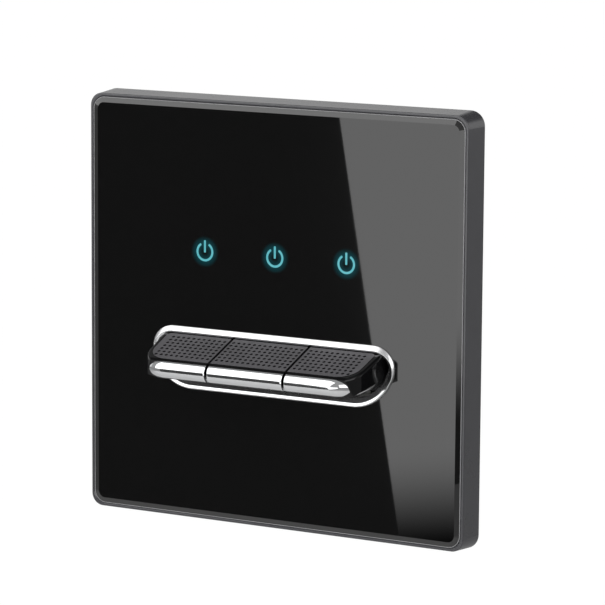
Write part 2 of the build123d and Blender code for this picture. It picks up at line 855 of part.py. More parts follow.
    with BuildPart() as upper_contact:
        top_z = push_z + contact_offset
        block((centre - half, centre + half), strip, (top_z - half, tab_rows[0]))
        block((centre - tab_half, centre + tab_half), strip,
              (tab_rows[0] - tab_height / 2, tab_rows[0] + tab_height / 2))
        round_bar(button_radius, centre, top_z, (fixed_face, strip_front))
        round_bar(screw_hole, centre, tab_rows[0], strip, mode=Mode.SUBTRACT)
    keep(upper_contact, f"upper_contact_{number}")

    with BuildPart() as common_contact:
        lane = centre + lane_offset
        block((centre - fulcrum_half_width, lane + lane_half), strip, (push_z - half, push_z + half))
        block((lane - lane_half, lane + lane_half), strip, (push_z - half, tab_rows[1] + half))
        block((centre, lane), strip, (tab_rows[1] - half, tab_rows[1] + half))
        block((centre - tab_half, centre + tab_half), strip,
              (tab_rows[1] - tab_height / 2, tab_rows[1] + tab_height / 2))
        fulcrum_tip = rocker_depth + rocker_back + blade_thickness + fulcrum_gap
        with BuildSketch(Plane.YZ.offset(centre - fulcrum_half_width)):
            with BuildLine():
                Polyline(
                    (fulcrum_tip, push_z - fulcrum_tip_half),
                    (fulcrum_tip, push_z + fulcrum_tip_half),
                    (strip_front, push_z + fulcrum_foot_half),
                    (strip_front, push_z - fulcrum_foot_half),
                    close=True,
                )
            make_face()
        extrude(amount=2 * fulcrum_half_width)
        round_bar(screw_hole, centre, tab_rows[1], strip, mode=Mode.SUBTRACT)
    keep(common_contact, f"common_contact_{number}")

    with BuildPart() as lower_contact:
        lane = centre - lane_offset
        low_z = push_z - contact_offset
        block((lane - lane_half, centre + half), strip, (low_z - half, low_z + half))
        block((lane - lane_half, lane + lane_half), strip, (low_z - half, tab_rows[2] + half))
        block((lane, centre), strip, (tab_rows[2] - half, tab_rows[2] + half))
        block((centre - tab_half, centre + tab_half), strip,
              (tab_rows[2] - tab_height / 2, tab_rows[2] + tab_height / 2))
        round_bar(button_radius, centre, low_z, (fixed_face, strip_front))
        round_bar(screw_hole, centre, tab_rows[2], strip, mode=Mode.SUBTRACT)
    keep(lower_contact, f"lower_contact_{number}")

# Terminal clamps and their screws, one for each tab
clamp_front = block_bottom + clamp_gap
clamp_back = clamp_front + clamp_thickness
clamp_half_width = well_width / 2 - clamp_fit
clamp_half_height = well_height / 2 - clamp_fit
with BuildPart() as terminal_clamps:
    for _, x in gangs:
        for z in tab_rows:
            block((x - clamp_half_width, x + clamp_half_width), (clamp_front, clamp_back),
                  (z - clamp_half_height, z + clamp_half_height))
            round_bar(terminal_screw_radius + slip_gap, x, z, (clamp_front, clamp_back), mode=Mode.SUBTRACT)
keep(terminal_clamps, "terminal_clamps")

with BuildPart() as terminal_screws:
    head_back = clamp_back + terminal_head_height
    for _, x in gangs:
        for z in tab_rows:
            round_bar(terminal_screw_radius, x, z, (strip_front - screw_end, clamp_back))
            round_bar(terminal_head_radius, x, z, (clamp_back, head_back))
            block((x - screw_slot_reach, x + screw_slot_reach), (head_back - screw_slot_depth, head_back),
                  (z - screw_slot / 2, z + screw_slot / 2), mode=Mode.SUBTRACT)
            block((x - screw_slot / 2, x + screw_slot / 2), (head_back - screw_slot_depth, head_back),
                  (z - screw_slot_reach, z + screw_slot_reach), mode=Mode.SUBTRACT)
keep(terminal_screws, "terminal_screws")

# Screws through the yoke and cradle into the housing's bosses
with BuildPart() as housing_screws:
    for x, z in case_screw_spots:
        round_bar(case_screw_radius, x, z, (-yoke_thickness, screw_tip))
        round_bar(case_screw_head, x, z, (-yoke_thickness - case_screw_head_height, -yoke_thickness))
keep(housing_screws, "housing_screws")
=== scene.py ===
import math

import bpy
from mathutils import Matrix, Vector


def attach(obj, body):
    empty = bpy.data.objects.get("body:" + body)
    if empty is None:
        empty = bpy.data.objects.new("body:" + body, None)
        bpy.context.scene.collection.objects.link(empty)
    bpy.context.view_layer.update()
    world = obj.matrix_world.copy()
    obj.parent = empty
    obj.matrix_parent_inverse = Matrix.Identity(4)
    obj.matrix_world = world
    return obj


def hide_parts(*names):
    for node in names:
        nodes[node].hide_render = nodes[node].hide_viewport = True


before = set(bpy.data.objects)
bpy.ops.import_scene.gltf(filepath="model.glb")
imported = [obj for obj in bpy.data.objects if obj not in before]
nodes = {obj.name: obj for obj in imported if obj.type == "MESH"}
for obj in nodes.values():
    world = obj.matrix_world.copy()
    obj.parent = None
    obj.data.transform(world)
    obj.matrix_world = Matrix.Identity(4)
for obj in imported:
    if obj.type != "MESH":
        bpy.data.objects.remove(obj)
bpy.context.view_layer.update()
mm = 0.001
print("frame loaded:", len(nodes), "nodes")


# camera at the photo's angle
cameraSetup = {
    "place": (0.32274, -0.57702, 0.10999),      # m
    "turn": (80.748, -0.381, 29.029),           # degrees
    "lens": 200.0,                              # mm
    "nearest": 0.01,                            # m, where the view begins
}
bpy.ops.object.camera_add(location=cameraSetup["place"],
                          rotation=[math.radians(a) for a in cameraSetup["turn"]])
camera = bpy.context.object
camera.name = "photoCamera"
camera.data.lens = cameraSetup["lens"]
camera.data.clip_start = cameraSetup["nearest"]
bpy.context.scene.camera = camera


# small steps that the finishes share
noiseRange = (0.3, 0.7)         # between these lies nearly all of a noise
cloudRange = (0.35, 0.65)       # the same for a cloudy colour, with a little more contrast


def newFinish(name):
    finish = bpy.data.materials.new(name)
    finish.use_nodes = True
    tree = finish.node_tree
    return tree, tree.nodes["Principled BSDF"]


def feed(tree, socket, value):
    # a number is set on the socket, another node's output is linked to it
    if isinstance(value, (int, float)):
        socket.default_value = value
    else:
        tree.links.new(value, socket)


def objectAxes(tree):
    place = tree.nodes.new("ShaderNodeTexCoord")
    axes = tree.nodes.new("ShaderNodeSeparateXYZ")
    tree.links.new(place.outputs["Object"], axes.inputs["Vector"])
    return axes.outputs


def noiseOver(tree, scale, detail=3.0, stretch=(1, 1, 1)):
    place = tree.nodes.new("ShaderNodeTexCoord")
    mapping = tree.nodes.new("ShaderNodeMapping")
    mapping.inputs["Scale"].default_value = stretch
    noise = tree.nodes.new("ShaderNodeTexNoise")
    noise.inputs["Scale"].default_value = scale
    noise.inputs["Detail"].default_value = detail
    tree.links.new(place.outputs["Object"], mapping.inputs["Vector"])
    tree.links.new(mapping.outputs["Vector"], noise.inputs["Vector"])
    return noise.outputs["Fac"]


def remapped(tree, source, start, end, low, high, kind="SMOOTHSTEP"):
    # goes from low to high while the source goes from start to end
    remap = tree.nodes.new("ShaderNodeMapRange")
    remap.interpolation_type = kind
    feed(tree, remap.inputs["Value"], source)
    feed(tree, remap.inputs["From Min"], start)
    feed(tree, remap.inputs["From Max"], end)
    feed(tree, remap.inputs["To Min"], low)
    feed(tree, remap.inputs["To Max"], high)
    return remap.outputs["Result"]


def computed(tree, operation, first, second=0.0):
    node = tree.nodes.new("ShaderNodeMath")
    node.operation = operation
    feed(tree, node.inputs[0], first)
    feed(tree, node.inputs[1], second)
    return node.outputs["Value"]


def spread(tree, source, low, high, target):
    tree.links.new(remapped(tree, source, *noiseRange, low, high, "LINEAR"), target)


def tint(tree, source, dark, light, target, start=cloudRange[0], end=cloudRange[1]):
    ramp = tree.nodes.new("ShaderNodeValToRGB")
    for stop, place, colour in zip(ramp.color_ramp.elements, (start, end), (dark, light)):
        stop.position = place
        stop.color = (*colour, 1)
    tree.links.new(source, ramp.inputs["Fac"])
    tree.links.new(ramp.outputs["Color"], target)


def grain(tree, shader, source, strength, distance):
    bump = tree.nodes.new("ShaderNodeBump")
    bump.inputs["Strength"].default_value = strength
    bump.inputs["Distance"].default_value = distance
    tree.links.new(source, bump.inputs["Height"])
    tree.links.new(bump.outputs["Normal"], shader.inputs["Normal"])


# moulded plastic: a faint cloudy colour and a fine spark-eroded texture
mouldedCommon = {
    "cloud": 140,
    "sheen": 900,
    "sheenLow": -0.03,          # the roughness goes this far down and up
    "sheenHigh": 0.04,
    "grainDetail": 2.0,
    "grainStrength": 0.25,
    "shine": 0.5,
}
# grain is the width of the texture's grains and bump their height, both in mm
mouldedLooks = {
    "housingPlastic": {"dark": (0.62, 0.62, 0.60), "light": (0.645, 0.645, 0.625),
                       "rough": 0.45, "grain": 0.2, "bump": 0.006},
    "cradlePlastic": {"dark": (0.44, 0.44, 0.43), "light": (0.46, 0.46, 0.45),
                      "rough": 0.45, "grain": 0.2, "bump": 0.006},
    "rockerPlastic": {"dark": (0.30, 0.05, 0.035), "light": (0.36, 0.065, 0.045),
                      "rough": 0.4, "grain": 0.2, "bump": 0.004},
    "acetal": {"dark": (0.68, 0.68, 0.66), "light": (0.74, 0.74, 0.72),
               "rough": 0.32, "grain": 0.2, "bump": 0.003},
    "blackFilm": {"dark": (0.004, 0.004, 0.004), "light": (0.006, 0.006, 0.006),
                  "rough": 0.5, "grain": 0.1, "bump": 0.001},
    "solderMask": {"dark": (0.012, 0.10, 0.035), "light": (0.02, 0.13, 0.05),
                   "rough": 0.3, "grain": 0.3, "bump": 0.004},
    "resistorBody": {"dark": (0.012, 0.012, 0.012), "light": (0.02, 0.02, 0.02),
                     "rough": 0.4, "grain": 0.1, "bump": 0.002},
    "ledPackage": {"dark": (0.78, 0.78, 0.70), "light": (0.84, 0.84, 0.76),
                   "rough": 0.3, "grain": 0.2, "bump": 0.002},
}


def mouldedFinish(name, look):
    look = {**mouldedCommon, **look}
    tree, shader = newFinish(name)
    tint(tree, noiseOver(tree, look["cloud"]), look["dark"], look["light"], shader.inputs["Base Color"])
    spread(tree, noiseOver(tree, look["sheen"]), look["rough"] + look["sheenLow"],
           look["rough"] + look["sheenHigh"], shader.inputs["Roughness"])
    texture = noiseOver(tree, 1 / (look["grain"] * mm), look["grainDetail"])
    grain(tree, shader, texture, look["grainStrength"], look["bump"] * mm)
    shader.inputs["Specular IOR Level"].default_value = look["shine"]
    return tree, shader


for name, look in mouldedLooks.items():
    mouldedFinish(name, look)

# bare metal: drawn or rolled lines along one direction
metalCommon = {
    "cloud": 220,
    "sheenLow": -0.08,
    "sheenHigh": 0.1,
    "lineDetail": 4.0,
    "lineStrength": 0.25,
}
# the lines run across the axis with the largest stretch, and bump is their height in mm
metalLooks = {
    "zincPlate": {"dark": (0.58, 0.59, 0.61), "light": (0.65, 0.66, 0.68),
                  "rough": 0.34, "stretch": (1, 1, 12), "scale": 420, "bump": 0.004},
    "groundRod": {"dark": (0.58, 0.58, 0.59), "light": (0.66, 0.66, 0.67),
                  "rough": 0.24, "stretch": (30, 1, 1), "scale": 500, "bump": 0.002},
    "springWire": {"dark": (0.42, 0.43, 0.46), "light": (0.55, 0.56, 0.58),
                   "rough": 0.28, "stretch": (1, 1, 1), "scale": 1500, "bump": 0.002},
    "contactBrass": {"dark": (0.62, 0.44, 0.16), "light": (0.78, 0.58, 0.26),
                     "rough": 0.27, "stretch": (1, 1, 14), "scale": 500, "bump": 0.003},
    "screwSteel": {"dark": (0.56, 0.56, 0.55), "light": (0.70, 0.70, 0.68),
                   "rough": 0.26, "stretch": (1, 6, 1), "scale": 900, "bump": 0.003},
}


def metalFinish(name, look):
    look = {**metalCommon, **look}
    tree, shader = newFinish(name)
    shader.inputs["Metallic"].default_value = 1.0
    lines = noiseOver(tree, look["scale"], look["lineDetail"], look["stretch"])
    tint(tree, noiseOver(tree, look["cloud"]), look["dark"], look["light"], shader.inputs["Base Color"])
    spread(tree, lines, look["rough"] + look["sheenLow"], look["rough"] + look["sheenHigh"],
           shader.inputs["Roughness"])
    grain(tree, shader, lines, look["lineStrength"], look["bump"] * mm)


for name, look in metalLooks.items():
    metalFinish(name, look)

# smooth surfaces: no texture, only a roughness that changes a little from patch to patch
smoothLooks = {
    "satinFrame": {"dark": (0.049, 0.049, 0.055), "light": (0.053, 0.053, 0.060), "cloud": 140,
                   "rough": (0.23, 0.26), "patch": 60, "detail": 3.0, "metal": 0.0, "shine": 1.0},
    "satinSilver": {"dark": (0.80, 0.80, 0.81), "light": (0.86, 0.86, 0.87), "cloud": 260,
                    "rough": (0.22, 0.28), "patch": 900, "detail": 3.0, "metal": 0.8, "shine": 0.5},
    "keyPlastic": {"colour": (0.004, 0.004, 0.0045),
                   "rough": (0.05, 0.11), "patch": 260, "detail": 4.0, "metal": 0.0, "shine": 0.35},
    "bezelChrome": {"colour": (0.88, 0.885, 0.89),
                    "rough": (0.08, 0.13), "patch": 150, "detail": 5.0, "metal": 1.0, "shine": 0.5},
    "polishedChrome": {"colour": (0.86, 0.87, 0.88),
                       "rough": (0.025, 0.06), "patch": 120, "detail": 5.0, "metal": 1.0, "shine": 0.5},
}


def smoothFinish(name, look):
    tree, shader = newFinish(name)
    if "cloud" in look:
        tint(tree, noiseOver(tree, look["cloud"]), look["dark"], look["light"], shader.inputs["Base Color"])
    else:
        shader.inputs["Base Color"].default_value = (*look["colour"], 1)
    spread(tree, noiseOver(tree, look["patch"], look["detail"]), *look["rough"], shader.inputs["Roughness"])
    shader.inputs["Metallic"].default_value = look["metal"]
    shader.inputs["Specular IOR Level"].default_value = look["shine"]


for name, look in smoothLooks.items():
    smoothFinish(name, look)

# grip plates: sand-grey blasted top, with painted shade that darkens the dimples
gripLook = {
    "dark": (0.125, 0.122, 0.130),
    "light": (0.145, 0.141, 0.151),
    "rough": 0.5,
    "grain": 0.08,              # mm
    "bump": 0.003,
    "shine": 0.35,
    "dimpleShade": (0.014, 0.014, 0.015),
    "slope": 20.0,              # degrees
    "through": (-16.1, -8.385),     # mm, Y and Z of a point on the key's slope
    "darkBelow": 0.03,          # mm above the slope
    "lightAbove": 0.07,
}


def gripFinish(look):
    tree, shader = mouldedFinish("gripPlate", look)
    axes = objectAxes(tree)
    lean = math.sin(math.radians(look["slope"]))
    rise = math.cos(math.radians(look["slope"]))
    datum = (-lean * look["through"][0] + rise * look["through"][1]) * mm
    leaned = computed(tree, "MULTIPLY", axes["Y"], -lean)
    raised = computed(tree, "MULTIPLY", axes["Z"], rise)
    height = computed(tree, "SUBTRACT", computed(tree, "ADD", leaned, raised), datum)
    # painted shade: the colour darkens below the plate's top, into the dimples
    onTop = remapped(tree, height, look["darkBelow"] * mm, look["lightAbove"] * mm, 0.0, 1.0)
    blend = tree.nodes.new("ShaderNodeMix")
    blend.data_type = "RGBA"    # its colour sockets are inputs 6 and 7 and output 2
    tree.links.new(onTop, blend.inputs[0])
    blend.inputs[6].default_value = (*look["dimpleShade"], 1)
    tree.links.new(shader.inputs["Base Color"].links[0].from_socket, blend.inputs[7])
    tree.links.new(blend.outputs[2], shader.inputs["Base Color"])


gripFinish(gripLook)

# clear plugs behind the icons, lit from inside
guideLook = {
    "colour": (0.12, 0.55, 0.58),
    "rough": (0.12, 0.2),
    "patch": 400,
    "glow": (0.17, 0.62, 0.66),
    "strength": 0.8,
}


def guideFinish(look):
    tree, shader = newFinish("litGuide")
    spread(tree, noiseOver(tree, look["patch"]), *look["rough"], shader.inputs["Roughness"])
    shader.inputs["Base Color"].default_value = (*look["colour"], 1)
    shader.inputs["Emission Color"].default_value = (*look["glow"], 1)
    shader.inputs["Emission Strength"].default_value = look["strength"]


guideFinish(guideLook)

# the finish of each CAD node but the glass, which comes after the icons
wornOnce = {
    "face_frame": "satinFrame",
    "key_bezel": "bezelChrome",
    "print_film": "blackFilm",
    "led_board": "solderMask",
    "board_resistors": "resistorBody",
    "board_pins": "contactBrass",
    "mounting_yoke": "zincPlate",
    "key_cradle": "cradlePlastic",
    "pivot_rod": "groundRod",
    "rear_housing": "housingPlastic",
    "terminal_clamps": "zincPlate",
    "terminal_screws": "screwSteel",
    "housing_screws": "screwSteel",
}
wornInEachGang = {
    "light_guide": "litGuide",
    "indicator_led": "ledPackage",
    "key_core": "keyPlastic",
    "key_nose": "polishedChrome",
    "grip_plate": "gripPlate",
    "push_rod": "acetal",
    "return_spring": "springWire",
    "toggle_rocker": "rockerPlastic",
    "moving_contact": "contactBrass",
    "upper_contact": "contactBrass",
    "common_contact": "contactBrass",
    "lower_contact": "contactBrass",
}


def wear(node, finish):
    for slot in nodes[node].material_slots:
        slot.material = bpy.data.materials[finish]


for node, finish in wornOnce.items():
    wear(node, finish)
for number in (1, 2, 3):
    for node, finish in wornInEachGang.items():
        wear(f"{node}_{number}", finish)
print("finishes on the CAD nodes")


# small steps that the modelled pieces share
near = 0.01                     # mm, places closer than this count as the same
facing = 0.9                    # a face with this much of Y in its normal looks forwards or back
cutTolerance = 1e-7             # m
mergeDistance = 1e-6            # m


def startClean(piece=None):
    # object mode, with nothing selected or only the piece
    if bpy.context.object and bpy.context.object.mode != "OBJECT":
        bpy.ops.object.mode_set(mode="OBJECT")
    bpy.ops.object.select_all(action="DESELECT")
    if piece:
        piece.select_set(True)
        bpy.context.view_layer.objects.active = piece


def inMetres(place):
    return [value * mm for value in place]


def moveBy(x=0.0, y=0.0, z=0.0):
    bpy.ops.transform.translate(value=inMetres((x, y, z)))


def scaleBy(x, y, z, about=(0, 0, 0)):
    bpy.ops.transform.resize(value=(x, y, z), center_override=inMetres(about))


def stretchDown(factor, height):
    # only in height, and the given height stays
    scaleBy(1, 1, factor, (0, 0, height))


def turnBy(degrees, about=(0, 0, 0)):
    bpy.ops.transform.rotate(value=math.radians(degrees), orient_axis="Y", center_override=inMetres(about))


def addBlock(name, low, high):
    # a block between two corners, left in edit mode
    startClean()
    bpy.ops.mesh.primitive_cube_add(size=1.0)
    block = bpy.context.object
    block.name = name
    bpy.ops.object.mode_set(mode="EDIT")
    scaleBy(*inMetres(end - start for start, end in zip(low, high)))
    moveBy(*((start + end) / 2 for start, end in zip(low, high)))
    return block


def copyOf(piece, name):
    # a copy with its own mesh, left in edit mode
    startClean(piece)
    bpy.ops.object.duplicate()
    twin = bpy.context.object
    twin.name = name
    bpy.ops.object.mode_set(mode="EDIT")
    return twin


def choose(piece, kind, test):
    # selects the vertices, edges or faces of the piece whose place in mm passes the test
    bpy.ops.mesh.select_mode(type=kind)
    bpy.ops.mesh.select_all(action="DESELECT")
    bpy.ops.object.mode_set(mode="OBJECT")
    corners = piece.data.vertices
    if kind == "VERT":
        for corner in corners:
            corner.select = test(corner.co / mm)
    elif kind == "EDGE":
        for edge in piece.data.edges:
            edge.select = test(corners[edge.vertices[0]].co / mm, corners[edge.vertices[1]].co / mm)
    else:
        for face in piece.data.polygons:
            face.select = test(face.center / mm, face.normal)
    bpy.ops.object.mode_set(mode="EDIT")


def runsBack(start, end):
    # true for an edge whose ends lie at different depths
    return abs(start.y - end.y) > near


def inset(width):
    bpy.ops.mesh.inset(thickness=width * mm, use_even_offset=True)


def extrudeBy(x=0.0, y=0.0):
    bpy.ops.mesh.extrude_region_move(TRANSFORM_OT_translate={"value": (x * mm, y * mm, 0)})


def roundEdges(piece, test, width, segments, profile=0.5):
    choose(piece, "EDGE", test)
    bpy.ops.mesh.bevel(offset=width * mm, offset_type="OFFSET", segments=segments, profile=profile,
                       affect="EDGES")


def spinBy(steps, degrees, about, axis):
    bpy.ops.mesh.spin(steps=steps, angle=math.radians(degrees), center=inMetres(about), axis=axis)


def cut(point, normal, remove=True, fill=False):
    # cuts the whole mesh, and removes what lies beyond the plane where remove is true
    bpy.ops.mesh.select_all(action="SELECT")
    bpy.ops.mesh.bisect(plane_co=inMetres(point), plane_no=normal, use_fill=fill, clear_outer=remove,
                        threshold=cutTolerance)


def mergeDoubles():
    bpy.ops.mesh.select_all(action="SELECT")
    bpy.ops.mesh.remove_doubles(threshold=mergeDistance)


def faceOutwards():
    bpy.ops.mesh.select_all(action="SELECT")
    bpy.ops.mesh.normals_make_consistent(inside=False)


def joinRims():
    # bridges the two open rims, so that the ring is one closed wall
    bpy.ops.mesh.select_mode(type="EDGE")
    bpy.ops.mesh.select_all(action="DESELECT")
    bpy.ops.mesh.select_non_manifold()
    bpy.ops.mesh.bridge_edge_loops()
    faceOutwards()


def finishPiece(piece, smoothUpTo, *finishes):
    bpy.ops.object.mode_set(mode="OBJECT")
    bpy.ops.object.shade_smooth_by_angle(angle=math.radians(smoothUpTo))
    piece.data.materials.clear()
    for finish in finishes:
        piece.data.materials.append(bpy.data.materials[finish])


# chromed bezel: crowned rim on the glass, scooped well under the keys
bezelLook = {
    "halfTop": 30.356,          # mm, the outline before its corners are rounded
    "halfBottom": 23.834,
    "top": -3.4,
    "bottom": -16.0,
    "topBend": (7.506, 0.451),          # tangent length and profile of the corners
    "bottomBend": (5.515, 0.533),
    "bendSteps": 24,
    "glass": -6.3,              # depths, the rim's from the glass outwards and then the well's
    "lip": -6.55,
    "ridge": -6.9,
    "edge": -6.8,
    "scoop": -5.2,
    "back": -2.1,
    "outerSlope": 0.25,         # widths of the bands, from the rim's outside to the well's bottom
    "land": 0.12,
    "innerSlope": 0.58,
    "scoopSlope": 1.0,
    "overhang": 0.42,           # of the rim past the body that goes through the glass
    "ridgeStretch": (0.9504, -17.76),   # factor in height, and the height that stays
    "edgeStretch": (1.0248, -17.17),
    "scoopStretch": (1.1198, -14.1),
    "rounds": {"ridge": (0.05, 3), "edge": (0.1, 3), "lip": (0.06, 3), "scoop": (0.4, 4)},  # width, steps
    "silverBehind": 0.05,       # the well's finish starts this far behind the edge
    "smoothUpTo": 35,           # degrees
}


def modelBezel(look):
    bezel = addBlock("keyBezel", (-look["halfTop"], look["lip"], look["bottom"]),
                     (look["halfTop"], look["glass"], look["top"]))
    middle = (look["top"] + look["bottom"]) / 2
    choose(bezel, "VERT", lambda corner: corner.z < middle)
    scaleBy(look["halfBottom"] / look["halfTop"], 1, 1)
    for height, (length, profile) in ((look["top"], look["topBend"]), (look["bottom"], look["bottomBend"])):
        roundEdges(bezel, lambda start, end: runsBack(start, end) and abs(start.x - end.x) < near
                   and abs(start.z - height) < near and abs(end.z - height) < near,
                   length, look["bendSteps"], profile)

    choose(bezel, "FACE", lambda centre, normal: normal.y < -facing)
    inset(look["outerSlope"])
    moveBy(y=look["ridge"] - look["lip"])
    stretchDown(*look["ridgeStretch"])
    inset(look["land"])
    inset(look["innerSlope"])
    moveBy(y=look["edge"] - look["ridge"])
    stretchDown(*look["edgeStretch"])
    inset(look["scoopSlope"])
    moveBy(y=look["scoop"] - look["edge"])
    stretchDown(*look["scoopStretch"])
    extrudeBy(y=look["back"] - look["scoop"])
    bpy.ops.mesh.delete(type="FACE")

    choose(bezel, "FACE", lambda centre, normal: normal.y > facing and abs(centre.y - look["glass"]) < near)
    inset(look["overhang"])
    extrudeBy(y=look["back"] - look["glass"])       # the body through the glass
    bpy.ops.mesh.delete(type="FACE")
    joinRims()
    for name, (width, steps) in look["rounds"].items():
        depth = look[name]
        roundEdges(bezel, lambda start, end: abs(start.y - depth) < near and abs(end.y - depth) < near,
                   width, steps)
    finishPiece(bezel, look["smoothUpTo"], "bezelChrome", "satinSilver")
    silverFrom = (look["edge"] + look["silverBehind"]) * mm
    for face in bezel.data.polygons:
        face.material_index = 1 if face.center.y > silverFrom else 0
    return bezel


keyBezel = modelBezel(bezelLook)
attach(keyBezel, "base")
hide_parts("key_bezel")
print("bezel modelled:", len(keyBezel.data.vertices), "vertices")


# seat bead: a pale strip in the gap between the glass and the frame, a painted highlight along the glass's
# edge
beadLook = {
    "inside": 41.705,           # mm, half the width that the bead encloses
    "width": 0.09,
    "corner": 2.405,
    "cornerSteps": 20,
    "front": -6.03,
    "depth": 1.2,
    "smoothUpTo": 35,           # degrees
    # the pale grey of the strip is a painted highlight
    "dark": (0.40, 0.40, 0.41),
    "light": (0.46, 0.46, 0.47),
    "rough": 0.5,
    "grain": 0.2,               # mm
    "bump": 0.0005,
}


def modelBead(look):
    mouldedFinish("seatBead", look)
    outside = look["inside"] + look["width"]
    bead = addBlock("seatBead", (-outside, look["front"], -outside),
                    (outside, look["front"] + look["depth"], outside))
    roundEdges(bead, runsBack, look["corner"] + look["width"], look["cornerSteps"])
    choose(bead, "FACE", lambda centre, normal: abs(normal.y) > facing)
    inset(look["width"])
    bpy.ops.mesh.delete(type="FACE")
    joinRims()
    finishPiece(bead, look["smoothUpTo"], "seatBead")
    return bead


seatBead = modelBead(beadLook)
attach(seatBead, "base")
print("seat bead modelled")


# key noses: a rounded strip swept round both corners, trimmed and then parted into three
noseLook = {
    "centre": (-15.591, -10.487),       # mm, Y and Z of the strip's rounding
    "radius": 2.0312,
    "roundSteps": 160,
    "back": -15.0,
    "band": (-16.7, -8.785),    # a point of the face against the key's slope
    "slope": 20.0,              # degrees
    "chin": -12.25,
    "front": -17.6,
    "halfWidth": 24.0,
    "planRound": 5.1,
    "planSteps": 30,
    "endHalf": 23.9,            # the block that rounds the strip's lower ends
    "endFront": -19.0,
    "endBack": -12.0,
    "endHeight": 8.0,
    "endRound": 4.0,
    "endSteps": 24,
    "split": 8.7,
    "gap": 0.6,
    "beyond": 30.0,             # past both ends of the strip
    "flatAngle": 0.5,           # degrees, faces that bend less than this are joined
    "besideEnds": 0.35,         # cuts that keep the long faces' shading straight
    "soften": 0.14,
    "softenSteps": 3,
    "softenAbove": 28,          # degrees
    "smoothUpTo": 35,
}


def sweepBar(look):
    startClean()
    bpy.ops.mesh.primitive_circle_add(vertices=look["roundSteps"], radius=look["radius"] * mm,
                                      fill_type="NGON")
    bar = bpy.context.object
    bar.name = "noseBar"
    bpy.ops.object.mode_set(mode="EDIT")
    turnBy(90)
    moveBy(y=look["centre"][0], z=look["centre"][1])
    cut((0, 0, look["chin"]), (0, 0, -1))
    cut((0, look["front"], 0), (0, -1, 0))
    cut((0, look["back"], 0), (0, 1, 0))
    flat = look["halfWidth"] - look["planRound"]
    turnDepth = look["front"] + look["planRound"]
    bpy.ops.mesh.select_all(action="SELECT")
    moveBy(x=-flat)
    spinBy(look["planSteps"], 90, (-flat, turnDepth, 0), (0, 0, 1))
    choose(bar, "FACE", lambda centre, normal: abs(centre.x + flat) < near)
    extrudeBy(x=2 * flat)
    spinBy(look["planSteps"], -90, (flat, turnDepth, 0), (0, 0, 1))
    mergeDoubles()
    faceOutwards()
    slope = math.radians(look["slope"])
    cut((0, *look["band"]), (0, math.cos(slope), math.sin(slope)), fill=True)
    bpy.ops.object.mode_set(mode="OBJECT")
    return bar


def trimEnds(bar, look):
    block = addBlock("endBlock", (-look["endHalf"], look["endFront"], look["chin"]),
                     (look["endHalf"], look["endBack"], look["chin"] + look["endHeight"]))
    roundEdges(block, lambda start, end: runsBack(start, end) and max(start.z, end.z) < look["chin"] + near,
               look["endRound"], look["endSteps"])
    startClean(bar)
    trim = bar.modifiers.new("trim", "BOOLEAN")
    trim.operation = "INTERSECT"
    trim.object = block
    trim.solver = "EXACT"
    bpy.ops.object.modifier_apply(modifier="trim")
    startClean(block)
    bpy.ops.object.delete()


def partNose(bar, number, left, right, look):
    part = copyOf(bar, f"keyNose{number}")
    cut((left, 0, 0), (-1, 0, 0), fill=True)
    cut((right, 0, 0), (1, 0, 0), fill=True)
    mergeDoubles()
    bpy.ops.mesh.dissolve_limited(angle_limit=math.radians(look["flatAngle"]))
    flat = look["halfWidth"] - look["planRound"]
    for x in (max(left, -flat) + look["besideEnds"], min(right, flat) - look["besideEnds"]):
        cut((x, 0, 0), (1, 0, 0), remove=False)
    faceOutwards()
    bpy.ops.object.mode_set(mode="OBJECT")
    soften = part.modifiers.new("soften", "BEVEL")
    soften.width = look["soften"] * mm
    soften.segments = look["softenSteps"]
    soften.limit_method = "ANGLE"
    soften.angle_limit = math.radians(look["softenAbove"])
    bpy.ops.object.modifier_apply(modifier="soften")
    finishPiece(part, look["smoothUpTo"], "polishedChrome")
    return part


noseBar = sweepBar(noseLook)
trimEnds(noseBar, noseLook)
inner = noseLook["split"] - noseLook["gap"] / 2
outer = noseLook["split"] + noseLook["gap"] / 2
spans = ((-noseLook["beyond"], -outer), (-inner, inner), (outer, noseLook["beyond"]))
for number, (left, right) in enumerate(spans, 1):
    nose = partNose(noseBar, number, left, right, noseLook)
    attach(nose, f"key_{number}")
    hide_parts(f"key_nose_{number}")
startClean(noseBar)
bpy.ops.object.delete()
print("key noses modelled")


# lit icons: a broken ring and its stem, level with the glass
iconLook = {
    "pitch": 16.0,              # mm
    "height": 12.1,
    "shift": 0.5,               # to the right, where the glass's thickness puts them for the eye
    "radius": 1.95,
    "stroke": 0.45,
    "halfBreak": 30.0,          # degrees
    "ringSteps": 44,
    "stemLow": -0.15,
    "stemHigh": 2.3,
    "front": -6.315,
    "back": -6.27,
    "endRound": 0.12,
    "endSteps": 3,
    "endReach": 0.24,           # finds the ring's end edges round the middle of its stroke
    "smoothUpTo": 40,           # degrees
    "body": (0.02, 0.06, 0.065),
    "rough": 0.15,
    "glow": (0.09, 0.44, 0.50),
    "glowPale": (0.13, 0.50, 0.56),
    "cloud": 900,
    "strength": 0.9,
}


def iconFinish(look):
    tree, shader = newFinish("litIcon")
    shader.inputs["Base Color"].default_value = (*look["body"], 1)
    shader.inputs["Roughness"].default_value = look["rough"]
    cloud = noiseOver(tree, look["cloud"])
    tint(tree, cloud, look["glow"], look["glowPale"], shader.inputs["Emission Color"])
    shader.inputs["Emission Strength"].default_value = look["strength"]


